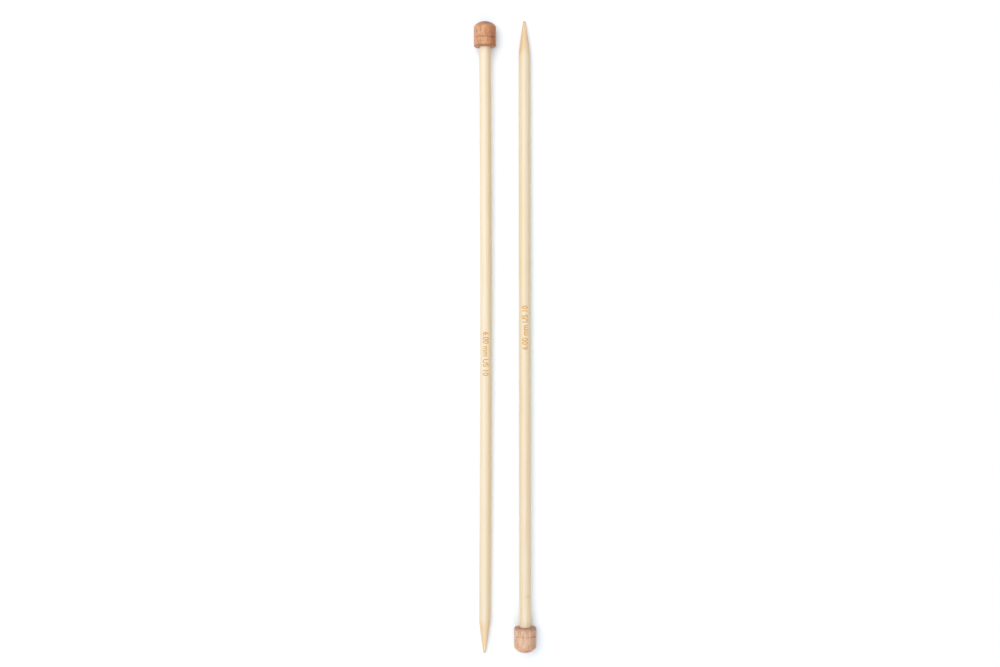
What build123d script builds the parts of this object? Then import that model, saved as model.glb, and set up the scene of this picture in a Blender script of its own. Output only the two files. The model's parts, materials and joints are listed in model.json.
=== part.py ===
from build123d import *
from math import acos, asin, atan2, cos, degrees, hypot, radians, sin, tan
import os

# A pair of straight knitting needles: two bamboo shafts, each glued into a turned wooden knob.
# The needles lie side by side on a flat surface, one turned end for end. The origin is on that surface,
# at the middle of the pair. +Z is up, +Y runs along the needles, and the left needle (-X) has its knob
# at +Y. All sizes are in millimetres.

# Whole needle
needle_length = 330.0  # from the top of the knob's dome to the point
needle_spacing = 21.0  # between the two axes
needle_advance = 0.35  # each needle lies this far towards its own point from the middle of the pair

# Shaft
shaft_radius = 3.0  # the nominal 6.00 mm needle size
point_radius = 0.8  # the blunt point is a small ball
point_half_angle = 7.5  # degrees, of the cone behind the point
shoulder_radius = 35.0  # the arc that eases the cone into the shaft

# Knob
knob_radius = 5.8
knob_length = 13.4
crown_radius = 7.6  # the domed end
crown_corner = 2.0  # rounding between the dome and the side
rim_rounding = 0.8  # rounding round the flat face on the shaft's side
groove_from_face = 4.6  # the ring groove's middle, from the flat face
groove_width = 0.8
groove_depth = 0.35
mouth_chamfer = 0.5  # at the mouth of the bore, a little wider than the shaft

# Glued joint
bore_depth = 9.0
bore_radius = shaft_radius - 0.15
spigot_radius = bore_radius - 0.15
spigot_chamfer = 0.4
glue_floor = 0.3  # glue between the spigot's end and the bottom of the bore

bore_bottom = knob_length - bore_depth
spigot_end = bore_bottom + glue_floor

# Outline of the point, measured along the axis from the top of the dome
point_centre = needle_length - point_radius
cone_angle = radians(point_half_angle)
cone_rise = shaft_radius - shoulder_radius * (1 - cos(cone_angle)) - point_radius * cos(cone_angle)
shoulder_start = (
    point_centre
    + point_radius * sin(cone_angle)
    - cone_rise / tan(cone_angle)
    - shoulder_radius * sin(cone_angle)
)

# A needle rests on its knob's rim and on the shoulder behind its point, so its axis dips towards the point.
# The surface is the common tangent of the rim's rounding and the shoulder's arc.
rim_centre = (knob_length - rim_rounding, knob_radius - rim_rounding)
shoulder_centre = (shoulder_start, shaft_radius - shoulder_radius)
run = shoulder_centre[0] - rim_centre[0]
drop = rim_centre[1] - shoulder_centre[1]
dip = acos((shoulder_radius - rim_rounding) / hypot(run, drop)) - atan2(run, drop)
dome_height = rim_centre[0] * sin(dip) + rim_centre[1] * cos(dip) + rim_rounding


def lying_plane(side, heading):
    """The plane of a needle's outline: local X along its axis from dome to point, local Y its radius."""
    dome_distance = needle_length / 2 * cos(dip) - needle_advance
    return Plane(
        origin=(side * needle_spacing / 2, -heading * dome_distance, dome_height),
        x_dir=(0, heading * cos(dip), -sin(dip)),
        z_dir=(1, 0, 0),
    )


def needle_axis(plane):
    """The line that a needle's outlines are revolved about."""
    return Axis(plane.origin, plane.x_dir)


def make_shaft(plane):
    """Bamboo rod with a spigot at the knob's end and an eased cone with a blunt point at the other."""
    with BuildPart() as shaft:
        with BuildSketch(plane):
            with BuildLine():
                Polyline(
                    (point_centre + point_radius, 0),
                    (spigot_end, 0),
                    (spigot_end, spigot_radius - spigot_chamfer),
                    (spigot_end + spigot_chamfer, spigot_radius),
                    (knob_length, spigot_radius),
                    (knob_length, shaft_radius),
                    (shoulder_start, shaft_radius),
                )
                shoulder = CenterArc(
                    shoulder_centre, shoulder_radius, 90 - point_half_angle, point_half_angle
                )
                point = CenterArc((point_centre, 0), point_radius, 0, 90 - point_half_angle)
                Line(shoulder @ 0, point @ 1)
            make_face()
        revolve(axis=needle_axis(plane))
    return shaft


def make_knob(plane):
    """Turned knob: domed end, ring groove, flat face with a rounded rim, and a blind bore."""
    crown_half_angle = degrees(asin(knob_radius / crown_radius))
    groove_middle = knob_length - groove_from_face
    with BuildPart() as knob:
        with BuildSketch(plane) as outline:
            with BuildLine():
                crown = CenterArc((crown_radius, 0), crown_radius, 180 - crown_half_angle, crown_half_angle)
                Polyline(
                    crown @ 0,
                    (knob_length, knob_radius),
                    (knob_length, bore_radius + mouth_chamfer),
                    (knob_length - mouth_chamfer, bore_radius),
                    (bore_bottom, bore_radius),
                    (bore_bottom, 0),
                    crown @ 1,
                )
            make_face()
            side_corners = outline.vertices().group_by(Axis.Y)[-1].sort_by(Axis.X)
            fillet(side_corners[0], crown_corner)
            fillet(side_corners[-1], rim_rounding)
            with BuildLine():
                Polyline(
                    (groove_middle - groove_width / 2, knob_radius),
                    (groove_middle, knob_radius - groove_depth),
                    (groove_middle + groove_width / 2, knob_radius),
                    close=True,
                )
            make_face(mode=Mode.SUBTRACT)
        revolve(axis=needle_axis(plane))
    return knob


def make_glue(plane):
    """Cured glue between the spigot and the knob's bore, a thin cup."""
    with BuildPart() as glue:
        with BuildSketch(plane):
            with BuildLine():
                Polyline(
                    (bore_bottom, 0),
                    (bore_bottom, bore_radius),
                    (knob_length - mouth_chamfer, bore_radius),
                    (knob_length - mouth_chamfer, spigot_radius),
                    (spigot_end + spigot_chamfer, spigot_radius),
                    (spigot_end, spigot_radius - spigot_chamfer),
                    (spigot_end, 0),
                    close=True,
                )
            make_face()
        revolve(axis=needle_axis(plane))
    return glue


os.makedirs("parts", exist_ok=True)
for name, side, heading in (("left", -1, -1), ("right", 1, 1)):
    plane = lying_plane(side, heading)
    for piece, make in (("shaft", make_shaft), ("knob", make_knob), ("glue", make_glue)):
        made = make(plane)
        made.part.label = f"{name}_{piece}"
        export_step(made.part, f"parts/{name}_{piece}.step")
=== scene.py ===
from math import asin, cos, pi, radians, sin, sqrt
import json

import bmesh
import bpy
from mathutils import Matrix, Vector, noise


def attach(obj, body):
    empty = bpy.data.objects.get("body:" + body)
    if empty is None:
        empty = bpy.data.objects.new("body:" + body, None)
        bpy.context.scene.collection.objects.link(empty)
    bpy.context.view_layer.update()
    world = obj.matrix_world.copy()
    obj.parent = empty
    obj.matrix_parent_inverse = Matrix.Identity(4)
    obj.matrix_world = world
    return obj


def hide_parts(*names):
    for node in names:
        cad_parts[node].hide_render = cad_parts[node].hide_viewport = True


# A pair of straight knitting needles: two bamboo shafts in turned wooden knobs. The CAD shafts and knobs are
# replaced by lathe meshes that carry the grain and the softened edges, and each shaft gets its printed size.
# A piece is built in its needle's own frame: X along the axis from the top of the dome to the point, Y to
# the side, Z up. Lengths are in millimetres, except places and sizes in the studio, which are in metres.

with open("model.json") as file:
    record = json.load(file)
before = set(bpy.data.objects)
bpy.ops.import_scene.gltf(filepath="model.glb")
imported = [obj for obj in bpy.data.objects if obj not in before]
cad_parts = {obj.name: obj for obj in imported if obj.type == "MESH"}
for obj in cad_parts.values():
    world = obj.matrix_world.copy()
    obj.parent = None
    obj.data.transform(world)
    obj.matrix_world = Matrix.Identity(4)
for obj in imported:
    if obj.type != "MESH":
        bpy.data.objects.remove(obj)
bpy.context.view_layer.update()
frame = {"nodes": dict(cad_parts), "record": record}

MM = 0.001

# Shape, as in the CAD part
POINT_RADIUS = 0.8
CONE_HALF_ANGLE = radians(7.5)
SHOULDER_RADIUS = 35.0
CROWN_RADIUS = 7.6
CROWN_CORNER = 2.0
RIM_ROUNDING = 0.8
GROOVE_FROM_FACE = 4.6
GROOVE_WIDTH = 0.8
GROOVE_DEPTH = 0.35
MOUTH_CHAMFER = 0.5
BORE_DEPTH = 9.0
BORE_INSET = 0.15  # how much the bore's radius is under the shaft's
SPIGOT_INSET = 0.3  # and the spigot's
SPIGOT_CHAMFER = 0.4
GLUE_FLOOR = 0.3  # glue between the spigot's end and the bore's floor

# Fineness of the lathe meshes: faces round each, how far apart the rings are, and the steps in each arc
SHAFT_SEGMENTS = 144
KNOB_SEGMENTS = 128
SHAFT_RING_STEP = 1.5
CONE_RING_STEP = 0.35
KNOB_RING_STEP = 0.12
FACE_RING_STEP = 0.18
GROOVE_RING_STEP = 0.09
HIDDEN_RING_STEP = 1.0  # on the spigot and in the bore
END_RING_STEP = 0.8  # on the spigot's flat end and the bore's floor
END_RING_RADIUS = 0.4  # of the ring nearest the middle of those
SHOULDER_STEPS = 14
POINT_STEPS = 10
CROWN_STEPS = 36
CORNER_STEPS = 16
RIM_STEPS = 10
SMOOTH_ANGLE = radians(40)  # sharper edges than this are shaded sharp

# Relief, as (length of a cell, its width, height)
FIBRES = (55, 0.42, 0.012)  # on a shaft, with the waves
WAVES = (38, 4, 0.02)
GRAIN = (7, 0.5, 0.014)  # on a knob, with the turning marks
TURNING_STEP = 0.3
TURNING_HEIGHT = 0.006

# The printed size
MARK_WORDS = "6.00 mm US 10"
MARK_LENGTH = 22.9
MARK_HEIGHT = 3.1
MARK_PROUD = 0.022  # how far the letters stand out of the shaft
MARK_SUNK = 0.05  # and how far into it they reach
MARK_SLICES = 18  # the flat letters are cut into so many strips, which lets them bend round the shaft
LETTER_DEPTH = 0.5  # of the flat letters, before they are scaled to the shaft
LETTER_WEIGHT = 0.012  # how much their strokes are thickened

# Surfaces
DOME_EDGE = 2.6  # how far from the top of the dome its end grain starts to give way to the side
SURFACE_IOR = 1.45
COAT_ROUGHNESS = 0.35

# Camera, straight above the pair
CAMERA_PLACE = (-0.00264, 0.0018, 0.7492)
CAMERA_LENS = 51.3
SENSOR_WIDTH = 36

# Studio: a white floor in a tent of soft round lamps, the strongest high on the left
FLOOR_REACH = 3.0
FLOOR_COLOUR = (0.925, 0.965, 1.0, 1)
SURROUND_COLOUR = (0.89, 0.94, 1, 1)
SURROUND_STRENGTH = 0.44
LAMP_SIZE = 1.2
LAMP_DISTANCE = 1.6
LAMPS = (  # name, azimuth from +X to +Y and elevation in degrees, strength
    ("low_left", 163, 20, 0.225),
    ("high_left", 157, 70, 0.332),
    ("far", 100, 45, 0.187),
    ("near", -90, 45, 0.230),
    ("right", 0, 45, 0.096),
    ("overhead", 0, 90, 0.122),
)


class Needle:
    """One needle's place and sizes, measured on its CAD nodes and read from its mount."""

    def __init__(self, name):
        mounts = {m["name"]: m for m in frame["record"]["mounts"]}
        wall = mounts[f"{name}_shaft_wall"]
        middle, along = Vector(wall["pos_m"]), Vector(wall["axis"]).normalized()
        knob = self.spread(f"{name}_knob", middle, along)
        shaft = self.spread(f"{name}_shaft", middle, along)
        dome = min(reach for reach, radius in knob)
        self.name = name
        self.body = f"{name}_needle"
        self.length = (max(reach for reach, radius in shaft) - dome) / MM
        self.shaft_radius = wall["dims"]["r_mm"]
        self.knob_radius = max(radius for reach, radius in knob) / MM
        self.face = (max(reach for reach, radius in knob) - dome) / MM
        self.shoulder = self.face + wall["dims"]["length_mm"]
        up = (Vector((0, 0, 1)) - along * along.z).normalized()
        side = up.cross(along)
        turn = Matrix((along, side, up)).transposed().to_4x4()
        self.matrix = Matrix.Translation(middle + along * dome) @ turn

    @staticmethod
    def spread(node, middle, along):
        """Each vertex of a CAD node as (distance along the axis, distance from it), in metres."""
        found = []
        for vertex in frame["nodes"][node].data.vertices:
            offset = vertex.co - middle
            reach = offset.dot(along)
            found.append((reach, (offset - along * reach).length))
        return found


# Geometry

def arc(centre, radius, start, end, steps):
    """Points of an arc as (along, radius) pairs; angles in radians, 0 along the axis."""
    angles = [start + (end - start) * i / steps for i in range(steps + 1)]
    return [(centre[0] + radius * cos(t), centre[1] + radius * sin(t)) for t in angles]


def run(start, end, step):
    """Evenly spaced points from start to end, both included, about step apart or closer."""
    distance = sqrt((end[0] - start[0]) ** 2 + (end[1] - start[1]) ** 2)
    count = max(1, int(distance / step + 0.999))
    return [
        (start[0] + (end[0] - start[0]) * i / count, start[1] + (end[1] - start[1]) * i / count)
        for i in range(count + 1)
    ]


def joined(*stretches):
    """One outline from stretches that meet end to end, without the doubled points."""
    outline = []
    for stretch in stretches:
        for point in stretch:
            if not outline or abs(point[0] - outline[-1][0]) + abs(point[1] - outline[-1][1]) > 1e-6:
                outline.append(point)
    return outline


def lathe(name, needle, outline, segments, relief, bend):
    """A closed solid turned about the needle's axis. The outline starts and ends on the axis.

    relief says how far the surface stands out at (along, radius, angle), and bend how far the axis has
    moved to the side at (along).
    """
    shape = bmesh.new()
    rings = []
    for along, radius in outline:
        if radius < 1e-6:
            rings.append([shape.verts.new((along * MM, bend(along) * MM, 0))])
            continue
        ring = []
        for i in range(segments):
            angle = 2 * pi * i / segments
            raised = radius + relief(along, radius, angle)
            y, z = raised * cos(angle) + bend(along), raised * sin(angle)
            ring.append(shape.verts.new((along * MM, y * MM, z * MM)))
        rings.append(ring)
    for one, other in zip(rings, rings[1:]):
        for i in range(segments):
            j = (i + 1) % segments
            corners = [one[i % len(one)], one[j % len(one)], other[j % len(other)], other[i % len(other)]]
            shape.faces.new(list(dict.fromkeys(corners)))
    bmesh.ops.recalc_face_normals(shape, faces=shape.faces)
    return placed(name, needle, shape)


def placed(name, needle, shape):
    """Turns a bmesh in the needle's frame, in metres, into a smooth-shaded object on the needle's body."""
    mesh = bpy.data.meshes.new(name)
    shape.to_mesh(mesh)
    shape.free()
    mesh.polygons.foreach_set("use_smooth", [True] * len(mesh.polygons))
    mesh.set_sharp_from_angle(angle=SMOOTH_ANGLE)
    piece = bpy.data.objects.new(name, mesh)
    bpy.context.scene.collection.objects.link(piece)
    piece.matrix_world = needle.matrix
    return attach(piece, needle.body)


def bow(needle, rise, drift):
    """The slight bend of a bamboo rod: how far to the side its axis lies at each distance from the dome.

    It bulges by rise half way, and drifts by drift on its way from the knob's face to the point.
    """
    def offset(along):
        share = max(0.0, (along - needle.face) / (needle.length - needle.face))
        return 4 * rise * share * (1 - share) + drift * share
    return offset


def bumps(layer, shift, along, at, angle):
    """How far one layer of relief stands out at a place on a lathe mesh."""
    length, width, height = layer
    y, z = at * cos(angle), at * sin(angle)
    return height * noise.noise(Vector((along / length + shift, y / width, z / width)))


def make_shaft(needle, bend, seed):
    """Bamboo rod: spigot, straight shaft, eased cone and blunt point, with fibres that stand out a little."""
    radius = needle.shaft_radius
    spigot = radius - SPIGOT_INSET
    spigot_end = needle.face - BORE_DEPTH + GLUE_FLOOR
    step_up = 0.05  # half the width and height of the small step from spigot to shaft
    point_centre = needle.length - POINT_RADIUS
    shoulder_centre = (needle.shoulder, radius - SHOULDER_RADIUS)
    shoulder = arc(shoulder_centre, SHOULDER_RADIUS, pi / 2, pi / 2 - CONE_HALF_ANGLE, SHOULDER_STEPS)
    point = arc((point_centre, 0), POINT_RADIUS, pi / 2 - CONE_HALF_ANGLE, 0, POINT_STEPS)
    outline = joined(
        [(spigot_end, 0)],
        run((spigot_end, END_RING_RADIUS), (spigot_end, spigot - SPIGOT_CHAMFER), END_RING_STEP),
        run((spigot_end + SPIGOT_CHAMFER, spigot), (needle.face - step_up, spigot), HIDDEN_RING_STEP),
        run((needle.face - step_up, spigot), (needle.face, radius - step_up), 4 * step_up),
        run((needle.face + step_up, radius), (needle.shoulder, radius), SHAFT_RING_STEP),
        shoulder,
        run(shoulder[-1], point[0], CONE_RING_STEP),
        point[:-1],
        [(needle.length, 0)],
    )

    def relief(along, at, angle):
        """Long fibres and slower waves, fading towards the axis."""
        fibres = bumps(FIBRES, seed, along, at, angle)
        waves = bumps(WAVES, -seed, along, at, angle)
        return (fibres + waves) * min(1.0, at / radius)

    return lathe(f"{needle.name}_bamboo_shaft", needle, outline, SHAFT_SEGMENTS, relief, bend)


def make_knob(needle, seed):
    """Turned knob: crowned end, ring groove with softened lips, flat face with a rounded rim, blind bore."""
    side, face = needle.knob_radius, needle.face
    bore = needle.shaft_radius - BORE_INSET
    corner_height = side - CROWN_CORNER
    corner_centre = (
        CROWN_RADIUS - sqrt((CROWN_RADIUS - CROWN_CORNER) ** 2 - corner_height ** 2), corner_height
    )
    crown_angle = asin(corner_height / (CROWN_RADIUS - CROWN_CORNER))
    groove = face - GROOVE_FROM_FACE
    groove_start, groove_end = groove - GROOVE_WIDTH / 2, groove + GROOVE_WIDTH / 2
    bore_bottom = face - BORE_DEPTH
    lip = 0.12  # how far along the side each lip of the groove is rounded
    soft = 0.03  # how much the lips, the groove's bottom and the bore's edge are eased
    floor_half = 0.06  # half the width of the groove's bottom
    mouth = bore + MOUTH_CHAMFER
    face_edge = mouth + 0.05  # where the flat face ends and turns into the bore's chamfer
    crown_start = 0.03  # angle of the first ring round the dome's middle
    outline = joined(
        [(0, 0)],
        arc((CROWN_RADIUS, 0), CROWN_RADIUS, pi - crown_start, pi - crown_angle, CROWN_STEPS),
        arc(corner_centre, CROWN_CORNER, pi - crown_angle, pi / 2, CORNER_STEPS),
        run((corner_centre[0], side), (groove_start - lip, side), KNOB_RING_STEP),
        run((groove_start, side - soft), (groove - floor_half, side - GROOVE_DEPTH + soft), GROOVE_RING_STEP),
        [(groove, side - GROOVE_DEPTH)],
        run((groove + floor_half, side - GROOVE_DEPTH + soft), (groove_end, side - soft), GROOVE_RING_STEP),
        run((groove_end + lip, side), (face - RIM_ROUNDING, side), KNOB_RING_STEP),
        arc((face - RIM_ROUNDING, side - RIM_ROUNDING), RIM_ROUNDING, pi / 2, 0, RIM_STEPS),
        run((face, side - RIM_ROUNDING), (face, face_edge), FACE_RING_STEP),
        run((face - soft, mouth - soft), (face - MOUTH_CHAMFER, bore), KNOB_RING_STEP),
        run((face - MOUTH_CHAMFER, bore), (bore_bottom, bore), HIDDEN_RING_STEP),
        run((bore_bottom, bore), (bore_bottom, END_RING_RADIUS), END_RING_STEP),
        [(bore_bottom, 0)],
    )

    def relief(along, at, angle):
        """Grain along the knob and faint turning marks round it, outside only."""
        if at <= bore + 0.01:
            return 0.0
        turned = noise.noise(Vector((along / TURNING_STEP, seed, at / TURNING_STEP)))
        return bumps(GRAIN, seed, along, at, angle) + TURNING_HEIGHT * turned

    return lathe(f"{needle.name}_turned_knob", needle, outline, KNOB_SEGMENTS, relief, lambda along: 0.0)


def make_mark(needle, bend, start):
    """The printed size: thin closed letters wrapped on the shaft, read from the knob towards the point."""
    text = bpy.data.curves.new(f"{needle.name}_letters", "FONT")
    text.body = MARK_WORDS
    text.resolution_u = 6
    text.extrude = LETTER_DEPTH
    text.offset = LETTER_WEIGHT
    holder = bpy.data.objects.new(text.name, text)
    bpy.context.scene.collection.objects.link(holder)
    shape = bmesh.new()
    flat = bpy.data.meshes.new_from_object(holder.evaluated_get(bpy.context.evaluated_depsgraph_get()))
    shape.from_mesh(flat)
    bpy.data.objects.remove(holder)
    bpy.data.meshes.remove(flat)
    bpy.data.curves.remove(text)
    bmesh.ops.remove_doubles(shape, verts=shape.verts, dist=1e-5)
    low = [min(v.co[i] for v in shape.verts) for i in range(3)]
    high = [max(v.co[i] for v in shape.verts) for i in range(3)]
    for i in range(1, MARK_SLICES):
        level = low[1] + (high[1] - low[1]) * i / MARK_SLICES
        everything = shape.verts[:] + shape.edges[:] + shape.faces[:]
        bmesh.ops.bisect_plane(shape, geom=everything, plane_co=(0, level, 0), plane_no=(0, 1, 0), dist=1e-6)
    for vertex in shape.verts:
        share = [(vertex.co[i] - low[i]) / (high[i] - low[i]) for i in range(3)]
        along = start + MARK_LENGTH * share[0]
        angle = pi / 2 - MARK_HEIGHT * (share[1] - 0.5) / needle.shaft_radius
        radius = needle.shaft_radius + share[2] * (MARK_PROUD + MARK_SUNK) - MARK_SUNK
        vertex.co = Vector((along, radius * cos(angle) + bend(along), radius * sin(angle))) * MM
    bmesh.ops.recalc_face_normals(shape, faces=shape.faces)
    return placed(f"{needle.name}_size_mark", needle, shape)


# Materials

def put(tree, kind, sockets=None, **settings):
    """Adds a shader node. A socket's value is a constant, or another node's output, which is linked."""
    node = tree.nodes.new(kind)
    for name, value in settings.items():
        setattr(node, name, value)
    for key, value in (sockets or {}).items():
        if isinstance(value, bpy.types.NodeSocket):
            tree.links.new(value, node.inputs[key])
        else:
            node.inputs[key].default_value = value
    return node


def new_material(name):
    """A material with an empty tree, and its object coordinates in millimetres."""
    material = bpy.data.materials.new(name)
    material.use_nodes = True
    tree = material.node_tree
    tree.nodes.clear()
    place = put(tree, "ShaderNodeTexCoord")
    scaled = put(tree, "ShaderNodeMapping", {"Vector": place.outputs["Object"], "Scale": (1 / MM,) * 3})
    return material, tree, scaled.outputs[0]


def stretched(tree, coords, along, across, depth, shift):
    """Coordinates for a texture whose cells are along x across x depth millimetres, moved by shift cells."""
    scale = (1 / along, 1 / across, 1 / depth)
    return put(tree, "ShaderNodeMapping", {"Vector": coords, "Scale": scale, "Location": shift}).outputs[0]


def grain_noise(tree, coords, detail=2.0, roughness=0.5):
    """Noise of cell size 1 in the given coordinates, from 0 to 1."""
    sockets = {"Vector": coords, "Scale": 1.0, "Detail": detail, "Roughness": roughness}
    return put(tree, "ShaderNodeTexNoise", sockets).outputs["Fac"]


def remap(tree, value, low, high, to_low=0.0, to_high=1.0):
    """value from low..high to to_low..to_high, clamped and eased at both ends."""
    sockets = {0: value, 1: low, 2: high, 3: to_low, 4: to_high}
    return put(tree, "ShaderNodeMapRange", sockets, interpolation_type="SMOOTHSTEP").outputs[0]


def maths(tree, operation, a, b=0.0):
    """One Math node on a and b."""
    return put(tree, "ShaderNodeMath", {0: a, 1: b}, operation=operation).outputs[0]


def apart(tree, value, place):
    """How far value is from place, on either side."""
    return maths(tree, "ABSOLUTE", maths(tree, "SUBTRACT", value, place))


def mixed(tree, share, a, b):
    """Colour a turning into colour b by share."""
    node = put(tree, "ShaderNodeMix", {0: share, 6: a, 7: b}, data_type="RGBA")
    return node.outputs[2]


def rgb(red, green, blue):
    """A linear colour from 8-bit display values."""
    def linear(value):
        value /= 255
        return value / 12.92 if value <= 0.04045 else ((value + 0.055) / 1.055) ** 2.4
    return (linear(red), linear(green), linear(blue), 1.0)


def finish_material(tree, colour, roughness, height, depth_mm, coat=0.0):
    """Closes a tree with a Principled shader; height, 0 to 1, is relief of depth_mm millimetres."""
    bump = put(tree, "ShaderNodeBump", {"Height": height, "Strength": 1.0, "Distance": depth_mm * MM})
    sockets = {"Base Color": colour, "Roughness": roughness, "Normal": bump.outputs[0], "IOR": SURFACE_IOR}
    sockets |= {"Coat Weight": coat, "Coat Roughness": COAT_ROUGHNESS}
    shader = put(tree, "ShaderNodeBsdfPrincipled", sockets)
    put(tree, "ShaderNodeOutputMaterial", {"Surface": shader.outputs[0]})


def parts_of(tree, coords):
    """Distance along the axis, side coordinate and distance from the axis, in millimetres."""
    split = put(tree, "ShaderNodeSeparateXYZ", {0: coords})
    across = put(tree, "ShaderNodeCombineXYZ", {1: split.outputs[1], 2: split.outputs[2]})
    length = put(tree, "ShaderNodeVectorMath", {0: across.outputs[0]}, operation="LENGTH").outputs["Value"]
    return split.outputs[0], split.outputs[1], length


def chosen_cells(tree, coords, inner, outer, least, most):
    """Spots in cells of size 1: full out to inner, gone at outer.

    Each cell has a random draw. Below least its spot is missing, and above most it is full.
    """
    cells = put(tree, "ShaderNodeTexVoronoi", {"Vector": coords, "Scale": 1.0, "Randomness": 1.0})
    draw = put(tree, "ShaderNodeSeparateColor", {0: cells.outputs["Color"]}).outputs[0]
    spot = remap(tree, cells.outputs["Distance"], inner, outer, 1.0, 0.0)
    return maths(tree, "MULTIPLY", spot, remap(tree, draw, least, most))


def bamboo(name, needle, look):
    """Waxed bamboo: straight fibre bundles in a pale ground, which the cone cuts across and shows darker."""
    material, tree, coords = new_material(name)
    seed = look["seed"]
    along, side, out = parts_of(tree, coords)
    broad = grain_noise(tree, stretched(tree, coords, 110, 1.1, 1.1, (seed, 0, 0)), 3)
    fine = grain_noise(tree, stretched(tree, coords, 26, 0.22, 0.22, (0, seed, 0)), 2)
    cells = stretched(tree, coords, 34, 0.46, 0.46, (0, seed, seed))
    threads = chosen_cells(tree, cells, 0.18, 0.42, 0.2, 0.9)
    ground = mixed(tree, remap(tree, broad, 0.3, 0.7), look["pale"], look["straw"])
    ground = mixed(tree, remap(tree, fine, 0.35, 0.75, 0.0, 0.35), ground, look["straw"])
    ground = mixed(tree, maths(tree, "MULTIPLY", threads, 0.55), ground, look["fibre"])
    # Part of the rod is yellower, and crisp lines run far along it
    middle, inner, outer = look["yellow"]
    yellow = remap(tree, apart(tree, along, middle), inner, outer, 0.45, 0.0)
    ground = mixed(tree, yellow, ground, look["straw"])
    lines = grain_noise(tree, stretched(tree, coords, 160, 0.5, 0.5, (seed, seed, 0)), 2)
    ground = mixed(tree, remap(tree, lines, 0.5, 0.6, 0.0, 0.4), ground, look["line"])
    # Painted shade: golden on the side away from the strongest lamps, and duller on the edge that faces them
    toward_shade = maths(tree, "MULTIPLY", side, look["skin_side"] / needle.shaft_radius)
    toward_shade = maths(tree, "ADD", toward_shade, maths(tree, "MULTIPLY", broad, 0.25))
    ground = mixed(tree, remap(tree, toward_shade, 0.3, 1.0, 0.0, 0.55), ground, look["gold"])
    ground = mixed(tree, remap(tree, toward_shade, -0.95, -0.25, 0.6, 0.0), ground, look["core"])
    # A painted highlight: a pale band along the top of the rod, between those two sides
    seam = remap(tree, apart(tree, toward_shade, -0.02), 0.1, 0.5, 0.35, 0.0)
    ground = mixed(tree, seam, ground, look["seam"])
    # The cone cuts through the fibres; painted shade darkens its flanks, which face sideways, and its blunt
    # tip
    cone = remap(tree, along, needle.shoulder + 1.0, needle.shoulder + 7.0)
    opened = maths(tree, "ADD", 0.6, maths(tree, "MULTIPLY", threads, 0.4))
    ground = mixed(tree, maths(tree, "MULTIPLY", cone, opened), ground, look["cut"])
    sideways = maths(tree, "DIVIDE", maths(tree, "ABSOLUTE", side), out)
    slanted = grain_noise(tree, stretched(tree, coords, 9, 0.5, 0.5, (0, seed, 0)), 2)
    flank = maths(tree, "ADD", sideways, maths(tree, "MULTIPLY", slanted, 0.5))
    flank = remap(tree, flank, 0.65, 1.2, 0.0, 0.6)
    reach = remap(tree, along, needle.shoulder, needle.shoulder + 5.0)
    ground = mixed(tree, maths(tree, "MULTIPLY", reach, flank), ground, look["flank"])
    # Painted shade: the blunt tip, which turns away from the light, goes darker
    tip_shade = remap(tree, along, needle.length - 1.0, needle.length - 0.3, 0.0, 0.9)
    ground = mixed(tree, tip_shade, ground, look["end"])
    # Scars are short darker bands across the side that takes the golden painted shade
    for place, share in look["scars"]:
        ragged = maths(tree, "ADD", apart(tree, along, place), maths(tree, "MULTIPLY", broad, 1.2))
        band = remap(tree, ragged, 0.7, 1.9, share, 0.0)
        band = maths(tree, "MULTIPLY", band, remap(tree, toward_shade, -0.2, 0.6))
        ground = mixed(tree, band, ground, look["fibre"])
    rough = remap(tree, maths(tree, "ADD", fine, maths(tree, "MULTIPLY", cone, 0.3)), 0.2, 1.1, 0.4, 0.62)
    height = maths(tree, "SUBTRACT", fine, maths(tree, "MULTIPLY", threads, 0.6))
    finish_material(tree, ground, rough, height, 0.02, coat=0.5)
    return material


def growth_rings(tree, coords, seed, scale, distortion, detail, detail_scale):
    """Rings of a trunk whose middle lies well outside the knob, and which leans a little from its axis."""
    tilted = put(tree, "ShaderNodeMapping", {
        "Vector": coords, "Rotation": (0, radians(7), radians(5)), "Location": (0, 9 + seed, -14)
    }).outputs[0]
    sockets = {"Vector": tilted, "Scale": scale, "Distortion": distortion}
    sockets |= {"Detail": detail, "Detail Scale": detail_scale}
    settings = {"wave_type": "RINGS", "rings_direction": "X", "wave_profile": "SAW"}
    return put(tree, "ShaderNodeTexWave", sockets, **settings).outputs["Fac"]


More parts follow.
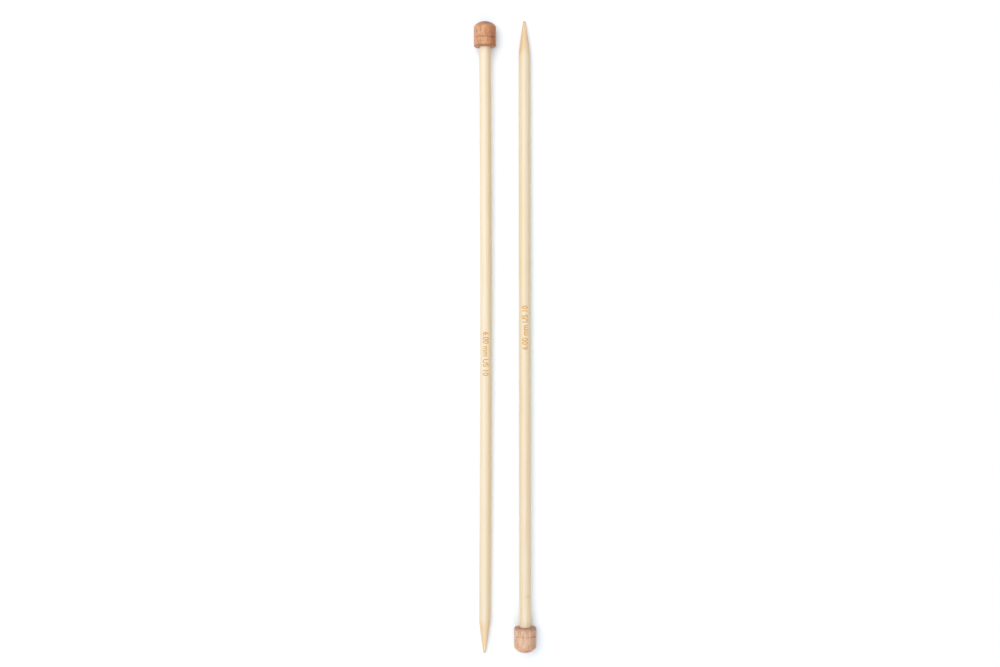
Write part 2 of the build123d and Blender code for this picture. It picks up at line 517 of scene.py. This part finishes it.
def knob_wood(name, needle, look):
    """Lacquered close-grained hardwood: faint rings and flecks on the side, end grain on both ends."""
    material, tree, coords = new_material(name)
    seed, dark = look["seed"], look["dark"]
    along, side, out = parts_of(tree, coords)
    rings = growth_rings(tree, coords, seed, 0.17, 1.6, 2.0, 0.25)
    cloud = grain_noise(tree, stretched(tree, coords, 4.5, 2.2, 2.2, (seed, seed, 0)), 3)
    fine = grain_noise(tree, stretched(tree, coords, 3.0, 0.2, 0.2, (0, seed, 0)), 3)
    flecks = chosen_cells(tree, stretched(tree, coords, 1.5, 0.5, 0.9, (seed, 0, 0)), 0.1, 0.42, 0.3, 0.7)
    blush = grain_noise(tree, stretched(tree, coords, *look["blush_cell"], (0, seed, seed)), 3, 0.6)
    colour = mixed(tree, remap(tree, rings, 0.1, 0.95, 0.0, look["figure"]), look["pale"], look["warm"])
    colour = mixed(tree, remap(tree, blush, 0.45, 0.62, 0.0, look["blush_share"]), colour, look["blush"])
    lines = grain_noise(tree, stretched(tree, coords, 9.0, 0.55, 0.55, (seed, seed, seed)), 2)
    colour = mixed(tree, remap(tree, lines, 0.52, 0.62, 0.0, look["line_share"]), colour, look["line"])
    colour = mixed(tree, remap(tree, cloud, 0.45, 0.75, 0.0, look["mottle"]), colour, dark)
    colour = mixed(tree, remap(tree, fine, 0.45, 0.8, 0.0, 0.3), colour, dark)
    colour = mixed(tree, maths(tree, "MULTIPLY", flecks, 0.45), colour, dark)
    # Painted shade darkens the side away from the strongest lamps; on the left knob it also carries reddish
    # streaks of its own
    heart = maths(tree, "MULTIPLY", side, look["heart_side"] / needle.knob_radius)
    heart = maths(tree, "ADD", heart, maths(tree, "MULTIPLY", cloud, 0.4))
    colour = mixed(tree, remap(tree, heart, 0.25, 1.05, 0.0, look["heart"]), colour, look["heartwood"])
    # End grain on the dome and the flat face: close rings and open pores
    end_rings = growth_rings(tree, coords, seed, 0.36, 1.8, 3.0, 0.6)
    pores = chosen_cells(tree, stretched(tree, coords, 3.0, 0.24, 0.24, (0, seed, 0)), 0.1, 0.4, 0.35, 0.6)
    end_tone = remap(tree, end_rings, 0.1, 0.95, 0.0, 0.3)
    end_tone = maths(tree, "ADD", end_tone, maths(tree, "MULTIPLY", pores, 0.35))
    end_tone = maths(tree, "ADD", end_tone, remap(tree, fine, 0.4, 0.7, -0.1, 0.15))
    ragged = maths(tree, "ADD", along, maths(tree, "MULTIPLY", fine, 0.5))
    dome = remap(tree, ragged, DOME_EDGE, DOME_EDGE + 0.5, 0.85, 0.0)
    colour = mixed(tree, dome, colour, mixed(tree, end_tone, look["dome"], dark))
    # Painted shade: darker towards the dome's middle, which turns away from the light, and on the dome's side
    # away from the lamps
    uneven = maths(tree, "ADD", out, remap(tree, cloud, 0.3, 0.7, -1.2, 1.2))
    middle = remap(tree, uneven, 2.0, 5.4, 0.75, 0.0)
    middle = maths(tree, "MULTIPLY", middle, remap(tree, along, 1.0, 2.2, 1.0, 0.0))
    dome_side_shade = maths(tree, "MULTIPLY", remap(tree, heart, -0.1, 0.4), remap(tree, along, 0.8, 2.8, 0.9, 0.0))
    darker = maths(tree, "MAXIMUM", middle, dome_side_shade)
    colour = mixed(tree, darker, colour, mixed(tree, end_tone, look["pith"], dark))
    face = remap(tree, along, needle.face - 0.3, needle.face - 0.1, 0.0, 0.9)
    colour = mixed(tree, face, colour, mixed(tree, end_tone, look["face"], dark))
    # A darker edge where the side turns to the face, and painted shade in the groove on the side away from
    # the lamps
    to_face = maths(tree, "SUBTRACT", along, needle.face - 0.15)
    to_side = maths(tree, "SUBTRACT", out, needle.knob_radius - 0.15)
    corner = put(tree, "ShaderNodeCombineXYZ", {0: to_face, 1: to_side})
    corner = put(tree, "ShaderNodeVectorMath", {0: corner.outputs[0]}, operation="LENGTH").outputs["Value"]
    colour = mixed(tree, remap(tree, corner, 0.3, look["rim_reach"], look["rim"], 0.0), colour, dark)
    groove = apart(tree, along, needle.face - GROOVE_FROM_FACE)
    groove_shade = maths(tree, "MULTIPLY", remap(tree, groove, 0.1, 0.5, 0.7, 0.0), remap(tree, heart, 0.5, 1.1))
    colour = mixed(tree, groove_shade, colour, dark)
    rough = remap(tree, fine, 0.2, 0.9, 0.36, 0.52)
    height = maths(tree, "SUBTRACT", fine, maths(tree, "MULTIPLY", flecks, 0.5))
    finish_material(tree, colour, rough, height, 0.02, coat=0.15)
    return material


def mark_ink(name, seed):
    """Amber print, paler in short streaks along the fibres."""
    material, tree, coords = new_material(name)
    worn = grain_noise(tree, stretched(tree, coords, 1.6, 0.2, 0.2, (seed, 0, 0)), 3)
    colour = mixed(tree, remap(tree, worn, 0.35, 0.75), rgb(200, 138, 58), rgb(220, 174, 98))
    finish_material(tree, colour, remap(tree, worn, 0.2, 0.8, 0.5, 0.65), worn, 0.01)
    return material


def cured_glue(name):
    """Amber film of wood glue with a few clouds in it."""
    material, tree, coords = new_material(name)
    clouds = grain_noise(tree, stretched(tree, coords, 1.2, 1.2, 1.2, (0, 0, 0)), 4)
    colour = mixed(tree, remap(tree, clouds, 0.3, 0.7), rgb(205, 176, 120), rgb(228, 208, 160))
    finish_material(tree, colour, remap(tree, clouds, 0.2, 0.8, 0.3, 0.5), clouds, 0.02)
    return material


def dress(piece, material):
    """Gives a piece one material, and no other."""
    piece.data.materials.clear()
    piece.data.materials.append(material)


# What differs between the two needles. Places along a needle are measured from the top of its dome.
# bow: bow()'s rise and drift. mark_start: where the print starts.
# skin_side, heart_side: which side, 1 or -1, gets the painted shade on the bamboo and on the knob.
# yellow: the middle of the yellower stretch, and how far from it the yellow starts and ends its fading.
# scars: the place and strength of each. cut: the cone. flank, end: painted shade on its flanks and tip.
# figure, blush_share, line_share, mottle, heart, rim: how strongly the growth rings, the redder patches,
# the lines, the dark clouds, the painted shade on the far side and the darker rim show. blush_cell: the size
# of a patch.
# rim_reach: how far from the rim's edge its darkening ends.
# On the bamboo, the golden and the duller edge colours are painted shade, and the pale band's colour is a
# painted highlight
# On the knobs, the colour of the far side and the dark colour of the dome's middle are painted shade; the far
# side's colour also holds the left knob's reddish streaks
LOOKS = {
    "left": {
        "bow": (0.6, -0.24),
        "mark_start": 162.0,
        "bamboo": {
            "seed": 3.1, "skin_side": 1, "scars": (), "yellow": (290, 40, 110),
            "line": rgb(226, 198, 146),
            "pale": rgb(234, 219, 197), "straw": rgb(227, 208, 175), "fibre": rgb(209, 182, 136),
            "gold": rgb(223, 193, 136), "core": rgb(221, 201, 160), "seam": rgb(234, 219, 201),
            "cut": rgb(230, 198, 150), "flank": rgb(222, 178, 118), "end": rgb(190, 164, 118),
        },
        "knob_slot": "brown_knob_wood",
        "knob": {
            "seed": 1.7, "figure": 0.25, "mottle": 0.4, "heart": 0.7, "heart_side": 1, "rim": 0.5,
            "rim_reach": 1.1, "blush_cell": (1.5, 1.0, 1.0), "blush_share": 0.7, "line_share": 0.3,
            "line": rgb(214, 152, 98),
            "pale": rgb(208, 157, 116), "warm": rgb(194, 135, 90), "dark": rgb(134, 74, 44),
            "blush": rgb(190, 118, 68), "heartwood": rgb(162, 86, 44), "dome": rgb(190, 123, 79),
            "pith": rgb(106, 67, 44), "face": rgb(194, 133, 95),
        },
    },
    "right": {
        "bow": (0.0, 0.4),
        "mark_start": 158.0,
        "bamboo": {
            "seed": 8.4, "skin_side": -1, "scars": ((29.5, 0.5),), "yellow": (170, 50, 110),
            "line": rgb(224, 194, 140),
            "pale": rgb(234, 218, 192), "straw": rgb(226, 206, 171), "fibre": rgb(208, 181, 134),
            "gold": rgb(218, 186, 128), "core": rgb(226, 200, 158), "seam": rgb(230, 214, 192),
            "cut": rgb(228, 190, 138), "flank": rgb(222, 174, 110), "end": rgb(160, 138, 108),
        },
        "knob_slot": "pale_knob_wood",
        "knob": {
            "seed": 6.3, "figure": 0.3, "mottle": 0.3, "heart": 0.45, "heart_side": -1, "rim": 0.5,
            "rim_reach": 1.9, "blush_cell": (6.0, 0.7, 0.7), "blush_share": 0.65, "line_share": 0.6,
            "line": rgb(224, 176, 124),
            "pale": rgb(222, 188, 160), "warm": rgb(204, 163, 131), "dark": rgb(142, 90, 60),
            "blush": rgb(203, 148, 119), "heartwood": rgb(166, 108, 84), "dome": rgb(245, 173, 109),
            "pith": rgb(140, 92, 62), "face": rgb(176, 126, 96),
        },
    },
}

# The needles
glue = cured_glue("cured_glue")
for needle in (Needle("left"), Needle("right")):
    look = LOOKS[needle.name]
    bend = bow(needle, *look["bow"])
    shaft = make_shaft(needle, bend, look["bamboo"]["seed"])
    dress(shaft, bamboo(f"{needle.name}_bamboo", needle, look["bamboo"]))
    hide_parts(f"{needle.name}_shaft")
    knob = make_knob(needle, look["knob"]["seed"])
    dress(knob, knob_wood(f"{needle.name}_knob_wood", needle, look["knob"]))
    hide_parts(f"{needle.name}_knob")
    mark = make_mark(needle, bend, look["mark_start"])
    dress(mark, mark_ink(f"{needle.name}_ink", look["bamboo"]["seed"]))
    for node_slot in frame["nodes"][f"{needle.name}_glue"].material_slots:
        node_slot.material = glue

# Camera
camera_data = bpy.data.cameras.new("camera")
camera_data.lens = CAMERA_LENS
camera_data.sensor_width = SENSOR_WIDTH
camera_data.clip_start = 0.01
camera_data.clip_end = 20
camera = bpy.data.objects.new("camera", camera_data)
camera.location = CAMERA_PLACE
bpy.context.scene.collection.objects.link(camera)
bpy.context.scene.camera = camera

# Floor
floor_mesh = bpy.data.meshes.new("floor")
floor_corners = [(x * FLOOR_REACH, y * FLOOR_REACH, 0) for x, y in ((-1, -1), (1, -1), (1, 1), (-1, 1))]
floor_mesh.from_pydata(floor_corners, [], [(0, 1, 2, 3)])
floor = bpy.data.objects.new("floor", floor_mesh)
bpy.context.scene.collection.objects.link(floor)
floor_material = bpy.data.materials.new("floor")
floor_material.use_nodes = True
floor_shader = floor_material.node_tree.nodes["Principled BSDF"]
floor_shader.inputs["Base Color"].default_value = FLOOR_COLOUR
floor_shader.inputs["Roughness"].default_value = 0.9
floor_shader.inputs["Specular IOR Level"].default_value = 0.0
floor_mesh.materials.append(floor_material)

# Lamps. One of strength 1 alone, facing a white card, would show it as white.
for name, azimuth, elevation, strength in LAMPS:
    data = bpy.data.lights.new(name, "AREA")
    data.shape = "DISK"
    data.size = LAMP_SIZE
    data.energy = strength * (pi * LAMP_DISTANCE) ** 2
    lamp = bpy.data.objects.new(name, data)
    turn, rise = radians(azimuth), radians(elevation)
    towards = Vector((cos(turn) * cos(rise), sin(turn) * cos(rise), sin(rise)))
    lamp.location = towards * LAMP_DISTANCE
    lamp.rotation_euler = towards.to_track_quat("Z", "Y").to_euler()
    bpy.context.scene.collection.objects.link(lamp)

# An even surround
world = bpy.data.worlds.new("surround")
world.use_nodes = True
background = world.node_tree.nodes["Background"]
background.inputs["Color"].default_value = SURROUND_COLOUR
background.inputs["Strength"].default_value = SURROUND_STRENGTH
bpy.context.scene.world = world
bpy.context.scene.view_settings.view_transform = "Standard"
